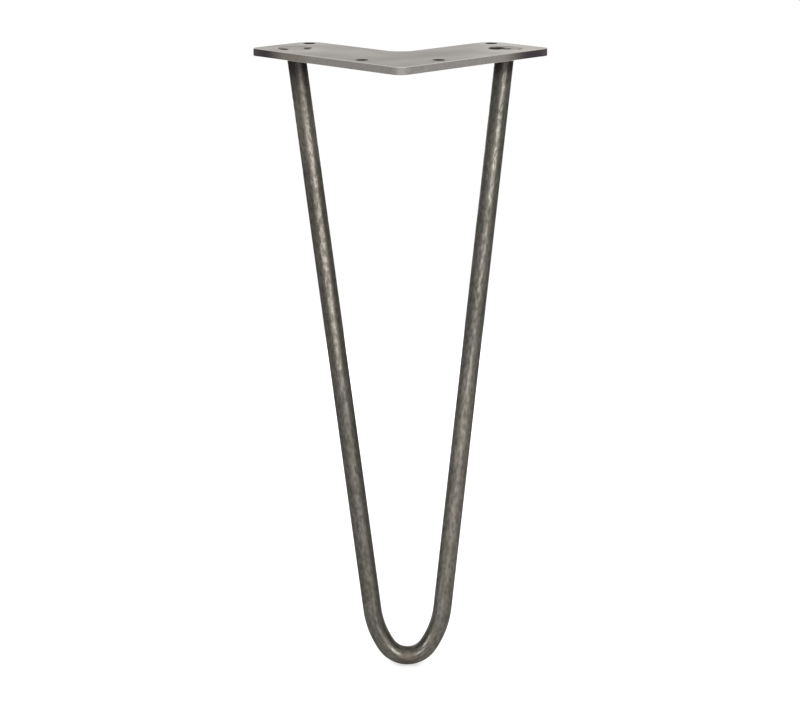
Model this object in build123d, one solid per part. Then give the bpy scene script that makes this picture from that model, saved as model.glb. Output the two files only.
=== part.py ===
from build123d import *
import os
from math import asin, cos, degrees, radians, sin, sqrt

# Hairpin table leg, in millimetres.
# The mounting face lies in the XY plane and faces up, and the leg hangs below it.
# The origin is the elbow of the V-shaped plate, where the centrelines of its arms cross.
# The arms run back to the left and right, and the outer corner of the plate points along -Y.

# Overall height, from the mounting face down to the floor
LEG_HEIGHT = 400.0

# Plate
PLATE_THICKNESS = 5.0
ARM_WIDTH = 50.0
ARM_REACH = 107.0             # elbow to the square end of an arm
ELBOW_OUTER_RADIUS = 7.2
ELBOW_INNER_RADIUS = 12.5
FAR_CORNER_RADIUS = 13.0      # inner corner at the end of an arm
TIP_RADIUS = 3.0              # outer corner at the end of an arm
PLATE_EDGE_BREAK = 0.5

# Screw holes, one pair by the arm ends and one pair by the elbow
SCREW_HOLE_DIAMETER = 8.0
REAR_HOLE_END_INSET = 8.5     # from the end of the arm
REAR_HOLE_SIDE_INSET = 8.5    # from the inner edge of the arm
FRONT_HOLE_REACH = 15.5       # from the elbow, along the arm
FRONT_HOLE_SIDE_INSET = 8.0   # from the outer edge of the arm

# Rod
ROD_DIAMETER = 12.0
ROD_SEAT_END_INSET = 21.0     # from the end of the arm
ROD_SEAT_SIDE_INSET = 18.0    # from the outer edge of the arm
FOOT_RADIUS = 16.5            # tight bend at the foot, to the centreline of the bar
SHOULDER_RADIUS = 57.0        # wider bend on either side of it, to the centreline
SHOULDER_ANGLE = 56.0         # from the lowest point to where the bend widens, in degrees
FOOT_SPLAY = 40.0             # the foot stands this far in front of the rod ends
FOOT_SIDE_LEAN = 4.6          # the bend sits this far right of the plate's middle

# Plug welds, filled from above into a countersink over each rod end
ROD_HOLE_CLEARANCE = 0.2
ROD_END_SETBACK = 1.6         # rod end below the mounting face
WELD_SETBACK = 0.2            # dressed weld surface below the mounting face
COUNTERSINK_DEPTH = 3.6
COUNTERSINK_DIAMETER = 22.0   # at the mounting face

SIDES = {"left": -1, "right": 1}


# A point of an arm, by its distance from the elbow along the arm's centreline
# and its distance from that centreline toward the inside of the V
def arm_point(side, along, inward, height=0.0):
    return Vector(side * (along - inward) / sqrt(2), (along + inward) / sqrt(2), height)


def rod_seat(side):
    return arm_point(side, ARM_REACH - ROD_SEAT_END_INSET, ROD_SEAT_SIDE_INSET - ARM_WIDTH / 2)


# The bar is bent in a flat plane that leans forward through both rod ends.
# In that plane x runs across the leg and y runs up the slope.
def bend_plane():
    seat_line = rod_seat(1).Y
    up_slope = Vector(0, FOOT_SPLAY, LEG_HEIGHT - ROD_DIAMETER / 2)
    return Plane(origin=(0, seat_line, 0), x_dir=(1, 0, 0), z_dir=Vector(1, 0, 0).cross(up_slope))


def foot_centre():
    slope_length = sqrt(FOOT_SPLAY**2 + (LEG_HEIGHT - ROD_DIAMETER / 2) ** 2)
    return Vector(FOOT_SIDE_LEAN, FOOT_RADIUS - slope_length)


# Direction from the foot's centre to where its tight bend meets the wider one
def shoulder_direction(side):
    angle = radians(SHOULDER_ANGLE)
    return Vector(side * sin(angle), -cos(angle))


# Where a straight leg of the bar runs into the bend, in the bend plane
def bend_start(side):
    top = Vector(rod_seat(side).X, 0)
    shoulder_centre = foot_centre() - shoulder_direction(side) * (SHOULDER_RADIUS - FOOT_RADIUS)
    to_centre = shoulder_centre - top
    spread = degrees(asin(SHOULDER_RADIUS / to_centre.length))
    straight = sqrt(to_centre.length**2 - SHOULDER_RADIUS**2)
    return top + to_centre.normalized().rotate(Axis.Z, side * spread) * straight


# Axis plane of one rod end: origin at the mounting face, z pointing up along the rod
def rod_end_plane(side):
    seat = rod_seat(side)
    low_point = bend_plane().from_local_coords(bend_start(side))
    return Plane(origin=seat, z_dir=seat - low_point)


def keep_below(solid, depth):
    return split(solid, Plane.XY.offset(-depth), keep=Keep.BOTTOM)


# Countersink around one rod end, square to the mounting face and running past it
def countersink_cone(side):
    hole_radius = ROD_DIAMETER / 2 + ROD_HOLE_CLEARANCE
    flare = (COUNTERSINK_DIAMETER / 2 - hole_radius) / COUNTERSINK_DEPTH
    overrun = COUNTERSINK_DEPTH
    cone = Cone(
        hole_radius,
        COUNTERSINK_DIAMETER / 2 + flare * overrun,
        COUNTERSINK_DEPTH + overrun,
        align=(Align.CENTER, Align.CENTER, Align.MIN),
    )
    return Pos(rod_seat(side)) * Pos(0, 0, -COUNTERSINK_DEPTH) * cone


# Straight bar around one rod end, long enough to pass right through the plate
def rod_end_bar(side, diameter):
    bar = Cylinder(diameter / 2, 2 * (PLATE_THICKNESS + diameter))
    return rod_end_plane(side) * bar


# V-shaped plate, with rounded corners and broken edges
def mounting_plate():
    half = ARM_WIDTH / 2
    outer_elbow = arm_point(1, -half, -half)
    inner_elbow = arm_point(1, half, half)
    tips = [arm_point(side, ARM_REACH, -half) for side in SIDES.values()]
    far_corners = [arm_point(side, ARM_REACH, half) for side in SIDES.values()]
    outline = make_face(
        Polyline(
            outer_elbow, tips[1], far_corners[1], inner_elbow, far_corners[0], tips[0], close=True
        )
    )
    roundings = [
        ([outer_elbow], ELBOW_OUTER_RADIUS),
        ([inner_elbow], ELBOW_INNER_RADIUS),
        (far_corners, FAR_CORNER_RADIUS),
        (tips, TIP_RADIUS),
    ]
    for corners, radius in roundings:
        for corner in corners:
            outline = fillet(outline.vertices().sort_by_distance(corner)[0], radius)
    plate = extrude(outline, -PLATE_THICKNESS)
    rims = plate.edges().group_by(Axis.Z)
    plate = fillet(rims[0] + rims[-1], PLATE_EDGE_BREAK)

    screw_hole = Cylinder(SCREW_HOLE_DIAMETER / 2, 3 * PLATE_THICKNESS)
    for side in SIDES.values():
        rear = arm_point(side, ARM_REACH - REAR_HOLE_END_INSET, half - REAR_HOLE_SIDE_INSET)
        front = arm_point(side, FRONT_HOLE_REACH, FRONT_HOLE_SIDE_INSET - half)
        plate -= Pos(rear) * screw_hole
        plate -= Pos(front) * screw_hole
        plate -= rod_end_bar(side, ROD_DIAMETER + 2 * ROD_HOLE_CLEARANCE)
        plate -= countersink_cone(side)
    return plate


# One round bar, bent to a narrow U, with both ends cut level with the mounting face
def hairpin_rod():
    lowest = foot_centre() - Vector(0, FOOT_RADIUS)
    legs = {}
    shoulders = {}
    joins = {}
    for side in SIDES.values():
        top = Vector(rod_seat(side).X, 0)
        start = bend_start(side)
        down = (start - top).normalized()
        legs[side] = Line(top - down * ROD_DIAMETER, start)
        joins[side] = foot_centre() + shoulder_direction(side) * FOOT_RADIUS
        shoulders[side] = TangentArc(start, joins[side], tangent=down)
    foot = ThreePointArc(joins[-1], lowest, joins[1])
    path = bend_plane() * Wire([legs[-1], shoulders[-1], foot, shoulders[1], legs[1]])
    profile = Plane(origin=path @ 0, z_dir=path % 0) * Circle(ROD_DIAMETER / 2)
    return keep_below(sweep(profile, path), ROD_END_SETBACK)


# Plug of weld metal that fills the countersink around and over one rod end
def plug_weld(side):
    pool = keep_below(countersink_cone(side), WELD_SETBACK)
    return pool - keep_below(rod_end_bar(side, ROD_DIAMETER), ROD_END_SETBACK)


nodes = {"mounting_plate": mounting_plate(), "hairpin_rod": hairpin_rod()}
for name, side in SIDES.items():
    nodes[name + "_weld"] = plug_weld(side)

os.makedirs("parts", exist_ok=True)
for node, solid in nodes.items():
    export_step(solid, f"parts/{node}.step")
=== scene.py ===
from math import asin, atan2, cos, hypot, pi, radians, sin, sqrt
import bpy
import numpy as np
from mathutils import Matrix, Vector


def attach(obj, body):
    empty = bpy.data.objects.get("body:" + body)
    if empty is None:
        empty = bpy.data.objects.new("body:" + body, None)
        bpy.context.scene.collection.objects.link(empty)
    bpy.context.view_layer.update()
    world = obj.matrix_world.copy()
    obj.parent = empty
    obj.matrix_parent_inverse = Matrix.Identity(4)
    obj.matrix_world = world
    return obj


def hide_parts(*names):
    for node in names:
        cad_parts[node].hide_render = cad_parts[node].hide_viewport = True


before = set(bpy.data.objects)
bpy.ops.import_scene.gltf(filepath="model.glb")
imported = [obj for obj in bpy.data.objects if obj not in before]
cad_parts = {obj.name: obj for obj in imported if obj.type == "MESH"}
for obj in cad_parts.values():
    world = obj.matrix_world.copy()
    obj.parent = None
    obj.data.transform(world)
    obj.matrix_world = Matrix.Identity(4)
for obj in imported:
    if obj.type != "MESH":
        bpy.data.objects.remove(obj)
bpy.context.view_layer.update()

# Mounting plate.
# A V of bare 5 mm sheet steel, cut with two arms at a right angle and drilled for four wood screws.
# The face keeps the fine streaks of rolled sheet, and welding burnt the cut edges dark toward the arm ends.
arm_width = 0.050
arm_reach = 0.107
screw_hole_radius = 0.004
rear_hole_inset = 0.0085
front_hole_reach = 0.0155
front_hole_inset = 0.008
rod_seat_end_inset = 0.021
rod_seat_side_inset = 0.018
countersink_radius = 0.011
rim_margin = 0.0001

face_elbow_tone = (0.294, 0.274, 0.253, 1.0)
face_end_tone = (0.360, 0.337, 0.312, 1.0)
face_bright_tone = (0.465, 0.441, 0.408, 1.0)
edge_tone = (0.246, 0.234, 0.224, 1.0)
edge_straw_tone = (0.205, 0.182, 0.162, 1.0)
edge_burn_tone = (0.056, 0.047, 0.053, 1.0)
edge_tip_tone = (0.085, 0.075, 0.073, 1.0)
# The rim tone is a painted highlight along the broken top edge
rim_highlight_tone = (0.520, 0.495, 0.465, 1.0)
# Hole and countersink walls: dark cut oxide, deepened with painted shade
hole_wall_oxide_and_shade_tone = (0.030, 0.027, 0.026, 1.0)
face_roughness = (0.42, 0.54)
edge_roughness = 0.74
oxide_shine = 0.1
brushed_strength = 0.12
brushed_depth = 0.0001

# Values that a grain mask swings between, and the share of a tone that it then takes or adds
wide_swing = (0.25, 0.75)
narrow_swing = (0.3, 0.7)
face_share = 0.14
edge_share = 0.08

# Where the tones change along an arm, from the elbow, with the right arm's straw later and its burn sooner
face_end_run = (0.01, 0.11)
straw_run = (0.050, 0.066)
right_straw_lag = 0.010
burn_run = (0.073, 0.095)
right_burn_lead = 0.007
tip_run = (0.094, 0.107)
side_blend = 0.01

# The face brightens toward the right arm's end, and a patch in front of each weld is brighter: ground
# metal, with a painted highlight
bright_run = (0.036, 0.074)
ground_and_highlight_patch = (0.060, 0.046, 0.0)
ground_and_highlight_run = (0.008, 0.018)
ground_and_highlight_gain = 1.13

# How far up a surface faces on the cut edges, and on their broken rims beside the mounting face, which
# carry a painted highlight
edge_facing = (0.35, 0.75)
rim_facing = (0.93, 0.98)
rim_depth = (-0.00055, -0.00040)


# A point of the right arm, by its distance from the elbow and from the arm's middle toward the inside
def arm_point(along, inward):
    return Vector(((along - inward) / sqrt(2), (along + inward) / sqrt(2), 0))


rear_hole = arm_point(arm_reach - rear_hole_inset, arm_width / 2 - rear_hole_inset)
front_hole = arm_point(front_hole_reach, front_hole_inset - arm_width / 2)
rod_seat = arm_point(arm_reach - rod_seat_end_inset, rod_seat_side_inset - arm_width / 2)


def new_material(name, metallic):
    material = bpy.data.materials.new(name)
    material.use_nodes = True
    shader = material.node_tree.nodes["Principled BSDF"]
    shader.inputs["Metallic"].default_value = metallic
    return material, material.node_tree, shader


def add_node(tree, kind, **settings):
    node = tree.nodes.new(kind)
    for name, value in settings.items():
        setattr(node, name, value)
    return node


# Gives a socket a link or a plain value
def feed(tree, socket, source):
    if isinstance(source, bpy.types.NodeSocket):
        tree.links.new(source, socket)
    else:
        socket.default_value = source


def math_node(tree, operation, first, second=0.0):
    node = add_node(tree, "ShaderNodeMath", operation=operation)
    feed(tree, node.inputs[0], first)
    feed(tree, node.inputs[1], second)
    return node.outputs[0]


# Goes smoothly from one value to another as the source goes from low to high
def ease(tree, source, low, high, start=0.0, end=1.0):
    node = add_node(tree, "ShaderNodeMapRange", interpolation_type="SMOOTHSTEP")
    feed(tree, node.inputs["Value"], source)
    for name, limit in (("From Min", low), ("From Max", high), ("To Min", start), ("To Max", end)):
        feed(tree, node.inputs[name], limit)
    return node.outputs["Result"]


def fade(tree, source, low, high):
    return ease(tree, source, low, high, 1.0, 0.0)


# Goes from one value to another as a mask goes from 0 to 1
def between(tree, mask, first, second):
    return ease(tree, mask, 0.0, 1.0, first, second)


def blend(tree, mask, first, second, mode="MIX"):
    node = add_node(tree, "ShaderNodeMix", data_type="RGBA", blend_type=mode)
    feed(tree, node.inputs["Factor"], mask)
    feed(tree, node.inputs["A"], first)
    feed(tree, node.inputs["B"], second)
    return node.outputs["Result"]


def shade(tree, tone, gain):
    return blend(tree, 1.0, tone, gain, "MULTIPLY")


# Varies a tone down and up by a share of itself as a grain mask swings
def vary(tree, tone, mask, swing, share):
    return shade(tree, tone, ease(tree, mask, *swing, 1 - share, 1 + share))


def split_axes(tree, source):
    node = add_node(tree, "ShaderNodeSeparateXYZ")
    feed(tree, node.inputs["Vector"], source)
    return node.outputs


# A place vector, turned or scaled before a pattern reads it
def remap(tree, place, setting, values):
    node = add_node(tree, "ShaderNodeMapping")
    feed(tree, node.inputs["Vector"], place)
    node.inputs[setting].default_value = values
    return node.outputs["Vector"]


# Grain of bare steel: flecks and fine streaks along the place vector's Z, and a slow drift of tone.
# Each layer has its waves to the metre on each axis, and the detail of its noise.
grain_layers = {
    "Fleck": ((650.0, 650.0, 430.0), 5.0),
    "Streak": ((1500.0, 1500.0, 30.0), 3.0),
    "Drift": ((40.0, 40.0, 26.0), 2.0),
}
steel_grain = bpy.data.node_groups.new("steel_grain", "ShaderNodeTree")
steel_grain.interface.new_socket("Place", in_out="INPUT", socket_type="NodeSocketVector")
grain_in = add_node(steel_grain, "NodeGroupInput")
grain_out = add_node(steel_grain, "NodeGroupOutput")
for mask_name, (waves, detail) in grain_layers.items():
    steel_grain.interface.new_socket(mask_name, in_out="OUTPUT", socket_type="NodeSocketFloat")
    noise = add_node(steel_grain, "ShaderNodeTexNoise")
    noise.inputs["Scale"].default_value = 1.0
    noise.inputs["Detail"].default_value = detail
    scaled = remap(steel_grain, grain_in.outputs["Place"], "Scale", waves)
    feed(steel_grain, noise.inputs["Vector"], scaled)
    feed(steel_grain, grain_out.inputs[mask_name], noise.outputs["Fac"])

# Turns the streaks to run across the leg
across_leg = (0.0, pi / 2, 0.0)


def add_grain(tree, place):
    grain = add_node(tree, "ShaderNodeGroup", node_tree=steel_grain)
    feed(tree, grain.inputs["Place"], place)
    return grain.outputs


def raise_grain(tree, shader, height, strength, depth):
    bump = add_node(tree, "ShaderNodeBump")
    bump.inputs["Strength"].default_value = strength
    bump.inputs["Distance"].default_value = depth
    feed(tree, bump.inputs["Height"], height)
    feed(tree, shader.inputs["Normal"], bump.outputs["Normal"])


# Distance from a point of either arm, seen from above
def gap_to(tree, on_arm, point):
    gap = add_node(tree, "ShaderNodeVectorMath", operation="DISTANCE")
    feed(tree, gap.inputs[0], on_arm)
    gap.inputs[1].default_value = point
    return gap.outputs["Value"]


# The wall of a hole through either arm, from just below the mounting face
def hole_wall(tree, on_arm, height, middle, radius):
    within = math_node(tree, "LESS_THAN", gap_to(tree, on_arm, middle), radius + rim_margin)
    below = math_node(tree, "LESS_THAN", height, -rim_margin)
    return math_node(tree, "MULTIPLY", within, below)


sheet_steel, tree, shader = new_material("sheet_steel", 1.0)
place = add_node(tree, "ShaderNodeTexCoord").outputs["Object"]
facing = split_axes(tree, add_node(tree, "ShaderNodeNewGeometry").outputs["Normal"])["Z"]
grain = add_grain(tree, remap(tree, place, "Rotation", across_leg))
x, y, z = split_axes(tree, place)
half_x = math_node(tree, "ABSOLUTE", x)
along_arm = math_node(tree, "MULTIPLY", math_node(tree, "ADD", half_x, y), 1 / sqrt(2))
flat_place = add_node(tree, "ShaderNodeCombineXYZ")
feed(tree, flat_place.inputs["X"], half_x)
feed(tree, flat_place.inputs["Y"], y)
on_arm = flat_place.outputs["Vector"]

face = blend(tree, ease(tree, along_arm, *face_end_run), face_elbow_tone, face_end_tone)
face = blend(tree, ease(tree, x, *bright_run), face, face_bright_tone)
# A patch in front of each weld, ground metal lightened further by a painted highlight
ground_and_highlight = ease(tree, gap_to(tree, on_arm, ground_and_highlight_patch), *ground_and_highlight_run, ground_and_highlight_gain, 1.0)
face = shade(tree, face, ground_and_highlight)
face = vary(tree, face, grain["Drift"], narrow_swing, face_share)
face = vary(tree, face, grain["Streak"], wide_swing, face_share)

on_right = ease(tree, x, -side_blend, side_blend)
straw_lag = math_node(tree, "MULTIPLY", on_right, right_straw_lag)
straw = ease(tree, math_node(tree, "SUBTRACT", along_arm, straw_lag), *straw_run)
burn_lead = math_node(tree, "MULTIPLY", on_right, right_burn_lead)
burn = ease(tree, math_node(tree, "ADD", along_arm, burn_lead), *burn_run)
edge = blend(tree, straw, edge_tone, edge_straw_tone)
edge = blend(tree, burn, edge, edge_burn_tone)
edge = blend(tree, ease(tree, along_arm, *tip_run), edge, edge_tip_tone)
edge = vary(tree, edge, grain["Fleck"], wide_swing, edge_share)

on_edge = fade(tree, math_node(tree, "ABSOLUTE", facing), *edge_facing)
on_rim_highlight = math_node(tree, "MULTIPLY", fade(tree, facing, *rim_facing), ease(tree, z, *rim_depth))
# Masks for the hole and countersink walls, which get painted shade
in_countersink = hole_wall(tree, on_arm, z, rod_seat, countersink_radius)
in_shaded_hole = in_countersink
for hole in (rear_hole, front_hole):
    in_shaded_hole = math_node(tree, "MAXIMUM", in_shaded_hole, hole_wall(tree, on_arm, z, hole, screw_hole_radius))

tone = blend(tree, on_edge, face, edge)
# A painted highlight on the broken rim of the mounting face
tone = blend(tree, on_rim_highlight, tone, rim_highlight_tone)
# Painted shade, over dark cut oxide, in the holes and countersinks
tone = blend(tree, in_shaded_hole, tone, hole_wall_oxide_and_shade_tone)
feed(tree, shader.inputs["Base Color"], tone)
feed(tree, shader.inputs["Metallic"], math_node(tree, "SUBTRACT", 1.0, in_countersink))
shader.inputs["Specular IOR Level"].default_value = oxide_shine
satin = ease(tree, grain["Streak"], *narrow_swing, *face_roughness)
feed(tree, shader.inputs["Roughness"], between(tree, on_edge, satin, edge_roughness))
raise_grain(tree, shader, grain["Streak"], brushed_strength, brushed_depth)
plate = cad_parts["mounting_plate"]
plate.data.materials.clear()
plate.data.materials.append(sheet_steel)

# Hairpin rod.
# One 12 mm round bar of bare drawn steel, bent cold to a narrow U in a plane that leans forward.
# Its two ends go up through the plate, cut level just below the face, under the plug welds.
bar_radius = 0.006
leg_height = 0.400
foot_splay = 0.040
foot_side_lean = 0.0046
foot_radius = 0.0165
shoulder_radius = 0.057
shoulder_angle = radians(56)
rod_end_setback = 0.0016
ring_points = 48
leg_rings = 24
shoulder_rings = 14
foot_rings = 28
merge_gap = 0.00001
smooth_angle = radians(40)

slope_length = hypot(foot_splay, leg_height - bar_radius)
up_slope = Vector((0, foot_splay, leg_height - bar_radius)) / slope_length
across = Vector((1, 0, 0))
out_of_bend = across.cross(up_slope)
foot_centre = Vector((foot_side_lean, foot_radius - slope_length))


# A point of the leaning bend plane: x across the leg, y up the slope from the mounting face
def in_bend(flat):
    return Vector((0, rod_seat.y, 0)) + across * flat.x + up_slope * flat.y


def leg_top(side):
    return Vector((side * rod_seat.x, 0))


# Direction from the foot's centre to where its tight bend meets the wider shoulder
def toward_join(side):
    return Vector((side * sin(shoulder_angle), -cos(shoulder_angle)))


def shoulder_centre(side):
    return foot_centre - toward_join(side) * (shoulder_radius - foot_radius)


# The straight leg touches the shoulder's circle here
def bend_start(side):
    reach = shoulder_centre(side) - leg_top(side)
    spread = side * asin(shoulder_radius / reach.length)
    heading = (Matrix.Rotation(spread, 2) @ reach).normalized()
    return leg_top(side) + heading * sqrt(reach.length**2 - shoulder_radius**2)


# Up the straight leg, from the bend to a bar's radius past the mounting face
def leg_run(side):
    run = in_bend(leg_top(side)) - in_bend(bend_start(side))
    return run + run.normalized() * bar_radius


def draw_bar(run):
    for _ in range(leg_rings):
        bpy.ops.mesh.extrude_region_move(TRANSFORM_OT_translate={"value": run / leg_rings})


def shoulder_turn(side):
    from_centre = bend_start(side) - shoulder_centre(side)
    return abs(from_centre.angle_signed(toward_join(side)))


# The spin operator turns clockwise about its axis
def bend_bar(centre, angle, rings):
    bpy.ops.mesh.spin(steps=rings, angle=angle, center=in_bend(centre), axis=-out_of_bend)


bpy.ops.object.select_all(action="DESELECT")
left_run = leg_run(-1)
bpy.ops.mesh.primitive_circle_add(
    vertices=ring_points,
    radius=bar_radius,
    location=in_bend(bend_start(-1)) + left_run,
    rotation=left_run.to_track_quat("Z", "X").to_euler(),
)
rod = bpy.context.object
rod.name = "bent_bar"
bpy.ops.object.transform_apply(location=True, rotation=True, scale=True)
bpy.ops.object.mode_set(mode="EDIT")
bpy.ops.mesh.select_all(action="SELECT")
draw_bar(-left_run)
bend_bar(shoulder_centre(-1), shoulder_turn(-1), shoulder_rings)
bend_bar(foot_centre, 2 * shoulder_angle, foot_rings)
bend_bar(shoulder_centre(1), shoulder_turn(1), shoulder_rings)
draw_bar(leg_run(1))
bpy.ops.object.mode_set(mode="OBJECT")

# Each ring's place on the straight bar before bending, for a grain that follows the bar round the bend
corners = np.empty(len(rod.data.vertices) * 3)
rod.data.vertices.foreach_get("co", corners)
ring_middles = corners.reshape(-1, ring_points, 3).mean(axis=1)
ring_gaps = np.linalg.norm(np.diff(ring_middles, axis=0), axis=1)
drawn_length = np.concatenate([[0.0], np.cumsum(ring_gaps)])
turns = np.linspace(0, 2 * pi, ring_points, endpoint=False)
straight = np.empty((len(ring_middles), ring_points, 3))
straight[..., 0] = bar_radius * np.cos(turns)
straight[..., 1] = bar_radius * np.sin(turns)
straight[..., 2] = drawn_length[:, None]
bar_place = rod.data.attributes.new("bar_place", "FLOAT_VECTOR", "POINT")
bar_place.data.foreach_set("vector", straight.ravel())
foot_place = float(drawn_length[ring_middles[:, 2].argmin()])

bpy.ops.object.mode_set(mode="EDIT")
bpy.ops.mesh.select_all(action="SELECT")
bpy.ops.mesh.bisect(plane_co=(0, 0, -rod_end_setback), plane_no=(0, 0, 1), clear_outer=True, use_fill=True)
bpy.ops.mesh.select_all(action="SELECT")
bpy.ops.mesh.remove_doubles(threshold=merge_gap)
bpy.ops.mesh.normals_make_consistent(inside=False)
bpy.ops.object.mode_set(mode="OBJECT")
bpy.ops.object.shade_smooth_by_angle(angle=smooth_angle)

bar_olive = (0.083, 0.079, 0.0675, 1.0)
bar_brown = (0.0840, 0.0768, 0.0700, 1.0)
bar_rust = (0.0850, 0.0779, 0.0672, 1.0)
# Soot tone: heat tint from the weld, with painted shade under the plate
bar_soot_and_shade = (0.020, 0.018, 0.018, 1.0)
foot_brown = (0.0728, 0.0612, 0.0488, 1.0)
bar_edge_tint = (0.5, 0.5, 0.5, 1.0)
rubbed_roughness = (0.40, 0.27)
plain_roughness = (0.54, 0.42)
bend_roughness = 0.28
foot_roughness = 0.5
pitted_strength = 0.3
pitted_depth = 0.0002
bend_pitting = 0.3
brown_swing = (0.42, 0.66)
polish_swing = (0.35, 0.65)
fleck_share = 0.26
streak_share = 0.16
drift_share = 0.12

# Drawing stretched the bar's flecks, so they have fewer waves to the metre along it
drawn_fleck_waves = (1.0, 1.0, 0.6)

# The upper legs are rubbed bright, further down on the left than on the right
left_rub_end = -0.205
right_rub_end = -0.10
rub_fade = 0.012
rub_wander = 0.06
bend_blend = 0.02

# Heights where a tone or finish of the bar changes
rust_foot = (-0.31, -0.28)
rust_top = (-0.225, -0.20)
bend_top = (-0.37, -0.35)
# Just under the plate the bar darkens: heat tint from the weld and painted shade of the plate
left_soot_and_shade_start = -0.027
right_soot_and_shade_start = -0.022
soot_and_shade_full = -0.009
soot_and_shade_cover = 0.95

# Heights where the bar lightens or darkens, and its gain at each. On the left leg's rubbed part, a painted
# highlight lifts the tone just below the plate, and painted shade darkens it right under the plate
left_plain_gain = (-0.375, -0.33, 1.02, 0.83)
right_plain_gain = (-0.30, -0.12, 1.12, 0.95)
left_painted_highlight_rise = (-0.080, -0.055, 0.82, 1.28)
left_painted_shade_fall = (-0.042, -0.026, 1.0, 0.65)
right_rub_gain = 0.99

# The floor wears a brown spot on the foot, by distance along the bar, and mostly on its underside
foot_spot = (0.002, 0.009)
foot_underside = (-0.395, -0.388, 1.0, 0.35)


# A grain mask as a reach either side of nothing
def wander(tree, mask, reach):
    return math_node(tree, "MULTIPLY", math_node(tree, "SUBTRACT", mask, 0.5), reach)


# A value that differs between the left and the right leg
def by_leg(tree, x, left, right):
    return ease(tree, x, -bend_blend, bend_blend, left, right)


drawn_steel, tree, shader = new_material("drawn_bar_steel", 1.0)
shader.inputs["Specular Tint"].default_value = bar_edge_tint
on_bar = add_node(tree, "ShaderNodeAttribute", attribute_name="bar_place").outputs["Vector"]
grain = add_grain(tree, on_bar)
fleck = add_grain(tree, remap(tree, on_bar, "Scale", drawn_fleck_waves))["Fleck"]
x, _, z = split_axes(tree, add_node(tree, "ShaderNodeTexCoord").outputs["Object"])

rub_height = math_node(tree, "ADD", z, wander(tree, grain["Drift"], rub_wander))
rub_end = by_leg(tree, x, left_rub_end, right_rub_end)
rubbed = ease(tree, math_node(tree, "SUBTRACT", rub_height, rub_end), -rub_fade, rub_fade)
rust_band = math_node(tree, "MULTIPLY", ease(tree, z, *rust_foot), fade(tree, z, *rust_top))
rusted = ease(tree, x, -side_blend, side_blend, rubbed, rust_band)
from_foot = math_node(tree, "SUBTRACT", split_axes(tree, on_bar)["Z"], foot_place)
near_foot = fade(tree, math_node(tree, "ABSOLUTE", from_foot), *foot_spot)
browned = math_node(tree, "MULTIPLY", near_foot, ease(tree, z, *foot_underside))
tone = blend(tree, ease(tree, grain["Drift"], *brown_swing), bar_olive, bar_brown)
tone = blend(tree, rusted, tone, bar_rust)
tone = blend(tree, browned, tone, foot_brown)
tone = vary(tree, tone, fleck, narrow_swing, fleck_share)
tone = vary(tree, tone, grain["Streak"], wide_swing, streak_share)
tone = vary(tree, tone, grain["Drift"], narrow_swing, drift_share)

plain_gain = by_leg(tree, x, ease(tree, z, *left_plain_gain), ease(tree, z, *right_plain_gain))
# The left leg's rubbed part gets a painted highlight band, then painted shade up to the plate
left_rub_painted_light_gain = math_node(tree, "MULTIPLY", ease(tree, z, *left_painted_highlight_rise), ease(tree, z, *left_painted_shade_fall))
rub_and_painted_light_gain = by_leg(tree, x, left_rub_painted_light_gain, right_rub_gain)
tone = shade(tree, tone, between(tree, rubbed, plain_gain, rub_and_painted_light_gain))
# Heat tint and painted shade under the plate
soot_and_shade_start = by_leg(tree, x, left_soot_and_shade_start, right_soot_and_shade_start)
tone = blend(tree, ease(tree, z, soot_and_shade_start, soot_and_shade_full, 0.0, soot_and_shade_cover), tone, bar_soot_and_shade)
feed(tree, shader.inputs["Base Color"], tone)

rubbed_polish = ease(tree, fleck, *polish_swing, *rubbed_roughness)
plain_polish = ease(tree, fleck, *polish_swing, *plain_roughness)
polish = between(tree, rubbed, plain_polish, rubbed_polish)
polish = ease(tree, z, *bend_top, bend_roughness, polish)
feed(tree, shader.inputs["Roughness"], between(tree, near_foot, polish, foot_roughness))
pitted = math_node(tree, "MULTIPLY", fleck, ease(tree, z, *bend_top, bend_pitting, 1.0))
raise_grain(tree, shader, pitted, pitted_strength, pitted_depth)
rod.data.materials.append(drawn_steel)
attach(rod, "root")
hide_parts("hairpin_rod")

# Plug welds.
# Weld metal filled from above into a countersink over each rod end, then ground to just below the face.
# The fill is uneven: the hollows that the grinder missed stay dark with oxide.
countersink_depth = 0.0036
rod_hole_clearance = 0.0002
rod_hole_radius = bar_radius + rod_hole_clearance
weld_setback = 0.0002
weld_foot_depth = 0.003
weld_points = 96
weld_top_rings = 13
weld_ring_width = 0.0008
level_facing = 0.9


def countersink_radius_at(depth):
    return countersink_radius - (countersink_radius - rod_hole_radius) * depth / countersink_depth


# Selects the faces that pass a test and goes into edit mode
def pick_faces(piece, wanted):
    bpy.ops.object.mode_set(mode="EDIT")
    bpy.ops.mesh.select_mode(type="FACE")
    bpy.ops.mesh.select_all(action="DESELECT")
    bpy.ops.object.mode_set(mode="OBJECT")
    for face in piece.data.polygons:
        face.select = wanted(face)
    bpy.ops.object.mode_set(mode="EDIT")


def faces_up(face):
    return face.normal.z > level_facing


def faces_down(face):
    return face.normal.z < -level_facing


# The corners of a weld's top, while the rest of it is hidden
def top_corners(piece):
    return [corner for corner in piece.data.vertices if not corner.hide]


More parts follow.
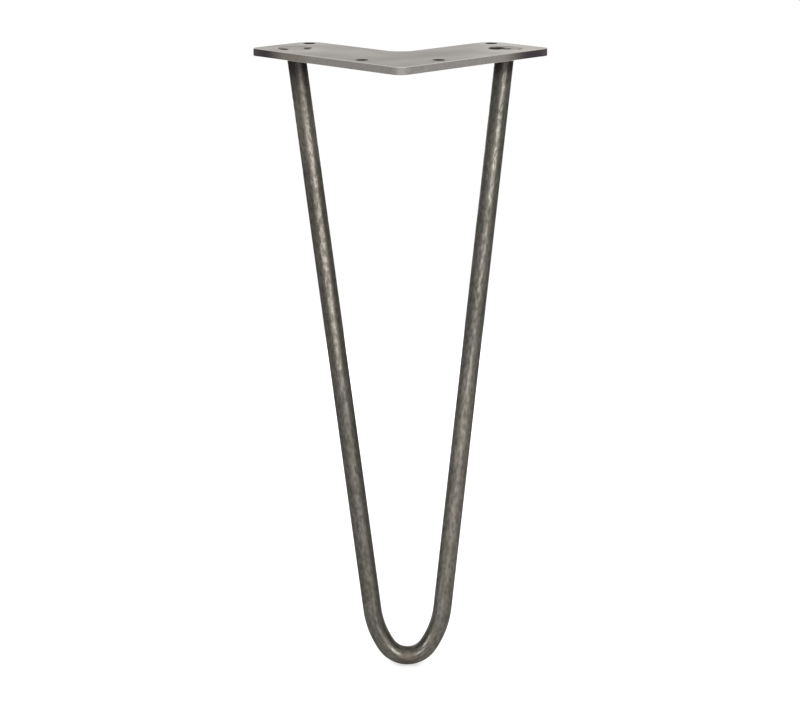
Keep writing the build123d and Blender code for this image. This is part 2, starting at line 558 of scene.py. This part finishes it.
# Presses the top of a weld down around one place, or raises it where the depth is negative
def press_hollow(piece, place, depth, reach):
    bpy.ops.object.mode_set(mode="EDIT")
    bpy.ops.mesh.select_mode(type="VERT")
    bpy.ops.mesh.select_all(action="DESELECT")
    bpy.ops.object.mode_set(mode="OBJECT")
    min(top_corners(piece), key=lambda corner: (corner.co.xy - place).length).select = True
    bpy.ops.object.mode_set(mode="EDIT")
    bpy.ops.transform.translate(
        value=(0, 0, -depth),
        use_proportional_edit=True,
        proportional_edit_falloff="SMOOTH",
        proportional_size=reach,
    )
    bpy.ops.object.mode_set(mode="OBJECT")


# Draws each spoke of the top in to where its pressed rim meets the wall of the countersink
def meet_wall(piece, middle):
    spokes = {}
    for corner in top_corners(piece):
        reach = corner.co.xy - middle
        turn = round(atan2(reach.y, reach.x) * weld_points / (2 * pi)) % weld_points
        spokes.setdefault(turn, []).append(corner)
    for spoke in spokes.values():
        rim = max(spoke, key=lambda corner: (corner.co.xy - middle).length)
        draw_in = countersink_radius_at(-rim.co.z) / countersink_radius_at(weld_setback)
        for corner in spoke:
            corner.co.xy = middle + (corner.co.xy - middle) * draw_in


def model_weld(name, side, hollows):
    seat = in_bend(leg_top(side))
    rod_axis = leg_run(side).normalized()
    along_rod = rod_axis / rod_axis.z
    bpy.ops.object.select_all(action="DESELECT")
    bpy.ops.mesh.primitive_cone_add(
        vertices=weld_points,
        radius1=countersink_radius_at(weld_foot_depth),
        radius2=countersink_radius_at(weld_setback),
        depth=weld_foot_depth - weld_setback,
        location=seat - Vector((0, 0, (weld_foot_depth + weld_setback) / 2)),
    )
    weld = bpy.context.object
    weld.name = name
    bpy.ops.object.transform_apply(location=True, rotation=True, scale=True)

    # The underside opens over the slanting rod end
    pick_faces(weld, faces_down)
    bpy.ops.mesh.inset(thickness=countersink_radius_at(weld_foot_depth) - bar_radius)
    drift = -along_rod * weld_foot_depth
    bpy.ops.transform.translate(value=(drift.x, drift.y, 0))
    rise = along_rod * (weld_foot_depth - rod_end_setback)
    bpy.ops.mesh.extrude_region_move(TRANSFORM_OT_translate={"value": rise})

    # The top is ringed, and the rest is hidden while the hollows are pressed
    pick_faces(weld, faces_up)
    for _ in range(weld_top_rings):
        bpy.ops.mesh.inset(thickness=weld_ring_width)
    bpy.ops.mesh.poke()
    bpy.ops.object.mode_set(mode="OBJECT")
    pick_faces(weld, faces_up)
    bpy.ops.mesh.hide(unselected=True)
    for offset, depth, reach in hollows:
        press_hollow(weld, seat.xy + Vector(offset), depth, reach)
    meet_wall(weld, seat.xy)
    bpy.ops.object.mode_set(mode="EDIT")
    bpy.ops.mesh.reveal(select=False)
    bpy.ops.object.mode_set(mode="OBJECT")
    bpy.ops.object.shade_smooth_by_angle(angle=smooth_angle)
    return weld


weld_dressed = (0.345, 0.324, 0.300, 1.0)
weld_straw = (0.150, 0.130, 0.108, 1.0)
weld_oxide = (0.026, 0.023, 0.019, 1.0)
dressed_roughness = (0.45, 0.6)
oxide_roughness = 0.9
oxide_mottle = (0.5, 1.7)
dressed_share = 0.14
ragged_reach = 0.0005

# Heights where the oxide ends, the straw tint ends, and the metal is bare
oxide_end = (-0.00072, -0.00040)
straw_end = (-0.00046, -0.00028)
bare_start = (-0.00056, -0.00032)

weld_metal, tree, shader = new_material("dressed_weld", 1.0)
place = add_node(tree, "ShaderNodeTexCoord").outputs["Object"]
grain = add_grain(tree, remap(tree, place, "Rotation", across_leg))
level = math_node(tree, "ADD", split_axes(tree, place)["Z"], wander(tree, grain["Fleck"], ragged_reach))
bare = ease(tree, level, *bare_start)
mottled = shade(tree, weld_oxide, ease(tree, grain["Fleck"], *narrow_swing, *oxide_mottle))
tone = blend(tree, ease(tree, level, *straw_end), weld_straw, weld_dressed)
tone = blend(tree, ease(tree, level, *oxide_end), mottled, tone)
tone = vary(tree, tone, grain["Streak"], wide_swing, dressed_share)
feed(tree, shader.inputs["Base Color"], tone)
feed(tree, shader.inputs["Metallic"], bare)
satin = ease(tree, grain["Fleck"], *narrow_swing, *dressed_roughness)
feed(tree, shader.inputs["Roughness"], between(tree, bare, oxide_roughness, satin))
shader.inputs["Specular IOR Level"].default_value = oxide_shine

# The hollows in each weld's top: place from the middle of the rod seat, depth and reach
weld_hollows = {
    "left": [
        ((-0.0082, -0.0006), 0.0006, 0.0046),
        ((-0.0064, -0.0052), 0.0005, 0.0040),
        ((-0.0046, -0.0012), 0.0002, 0.0032),
        ((0.0076, -0.0008), 0.0005, 0.0042),
        ((0.0072, 0.0034), 0.0004, 0.0040),
    ],
    "right": [
        ((-0.0096, 0.0010), 0.0013, 0.0060),
        ((-0.0044, 0.0044), 0.0011, 0.0060),
        ((-0.0060, -0.0012), 0.0007, 0.0046),
        ((0.0012, -0.0002), 0.0006, 0.0046),
        ((-0.0090, -0.0014), 0.0004, 0.0040),
        ((0.0070, 0.0056), -0.00017, 0.0070),
        ((0.0092, -0.0026), 0.0005, 0.0034),
    ],
}
for side_name, side in (("left", -1), ("right", 1)):
    weld = model_weld(side_name + "_plug_weld", side, weld_hollows[side_name])
    weld.data.materials.append(weld_metal)
    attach(weld, "root")
    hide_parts(side_name + "_weld")

# Studio.
# A plain white floor under the foot, broad soft lights in front and behind at the height of the leg,
# two narrow ones that draw the arcs on the bend, and a camera at the photograph's height and distance.
floor_size = 60.0
floor_tone = (0.9, 0.9, 0.9, 1.0)
floor_glow = 0.25
world_level = 0.85
white = (1.0, 1.0, 1.0, 1.0)
bend_middle = (0.0046, 0.016, -0.385)
narrow_beam = radians(34)
camera_place = (-0.0002, -1.19337, 0.15312)
camera_tilt = radians(15.76)
camera_lens = 89.48
camera_sensor = 36.0
camera_sight = 200.0


# The rays that see a plain white studio
def white_seen(tree):
    ray = add_node(tree, "ShaderNodeLightPath")
    seen = math_node(tree, "MAXIMUM", ray.outputs["Is Camera Ray"], ray.outputs["Is Glossy Ray"])
    return math_node(tree, "MAXIMUM", seen, ray.outputs["Is Transmission Ray"])


bpy.ops.object.select_all(action="DESELECT")
bpy.ops.mesh.primitive_plane_add(size=floor_size, location=(0, 0, -leg_height))
floor = bpy.context.object
floor.name = "floor"
floor_paint, tree, shader = new_material("white_floor", 0.0)
shader.inputs["Base Color"].default_value = floor_tone
shader.inputs["Roughness"].default_value = 1.0
shader.inputs["Specular IOR Level"].default_value = 0.0
shader.inputs["Emission Color"].default_value = white
feed(tree, shader.inputs["Emission Strength"], math_node(tree, "MULTIPLY", white_seen(tree), floor_glow))

# The floor is clear from below, for views of the underside
clear_below = add_node(tree, "ShaderNodeMixShader")
feed(tree, clear_below.inputs["Fac"], add_node(tree, "ShaderNodeNewGeometry").outputs["Backfacing"])
feed(tree, clear_below.inputs[1], shader.outputs["BSDF"])
feed(tree, clear_below.inputs[2], add_node(tree, "ShaderNodeBsdfTransparent").outputs["BSDF"])
feed(tree, tree.nodes["Material Output"].inputs["Surface"], clear_below.outputs["Shader"])
floor.data.materials.append(floor_paint)

scene = bpy.context.scene
scene.view_settings.view_transform = "Standard"
world = bpy.data.worlds.new("white_studio")
scene.world = world
world.use_nodes = True
tree = world.node_tree
backdrop = tree.nodes["Background"]
backdrop.inputs["Color"].default_value = white
feed(tree, backdrop.inputs["Strength"], between(tree, white_seen(tree), world_level, 1.0))


def soft_light(name, place, target, width, height, power, spread=pi):
    bpy.ops.object.light_add(type="AREA", location=place)
    lamp = bpy.context.object
    lamp.name = name
    lamp.data.shape = "RECTANGLE"
    lamp.data.size = width
    lamp.data.size_y = height
    lamp.data.energy = power
    lamp.data.spread = spread
    lamp.rotation_euler = (Vector(target) - Vector(place)).to_track_quat("-Z", "Y").to_euler()


soft_light(
    "front_upper_light",
    place=(0.36, -0.72, -0.04),
    target=(0.0, 0.05, -0.04),
    width=0.75,
    height=0.16,
    power=2.9,
)
soft_light(
    "front_lower_light",
    place=(0.02, -0.75, -0.21),
    target=(0.0, 0.05, -0.21),
    width=0.75,
    height=0.18,
    power=3.0,
)
soft_light(
    "left_side_light",
    place=(-0.53, -0.49, -0.17),
    target=bend_middle,
    width=0.03,
    height=0.30,
    power=0.050,
    spread=narrow_beam,
)
soft_light(
    "right_side_light",
    place=(0.355, -0.64, -0.19),
    target=bend_middle,
    width=0.03,
    height=0.38,
    power=0.038,
    spread=narrow_beam,
)
soft_light(
    "rear_light",
    place=(-0.15, 0.85, -0.15),
    target=(0.0, 0.05, -0.15),
    width=0.70,
    height=0.26,
    power=3.0,
)

bpy.ops.object.camera_add(location=camera_place, rotation=(pi / 2 - camera_tilt, 0, 0))
camera = bpy.context.object
camera.data.lens = camera_lens
camera.data.sensor_width = camera_sensor
camera.data.sensor_fit = "HORIZONTAL"
camera.data.clip_end = camera_sight
scene.camera = camera
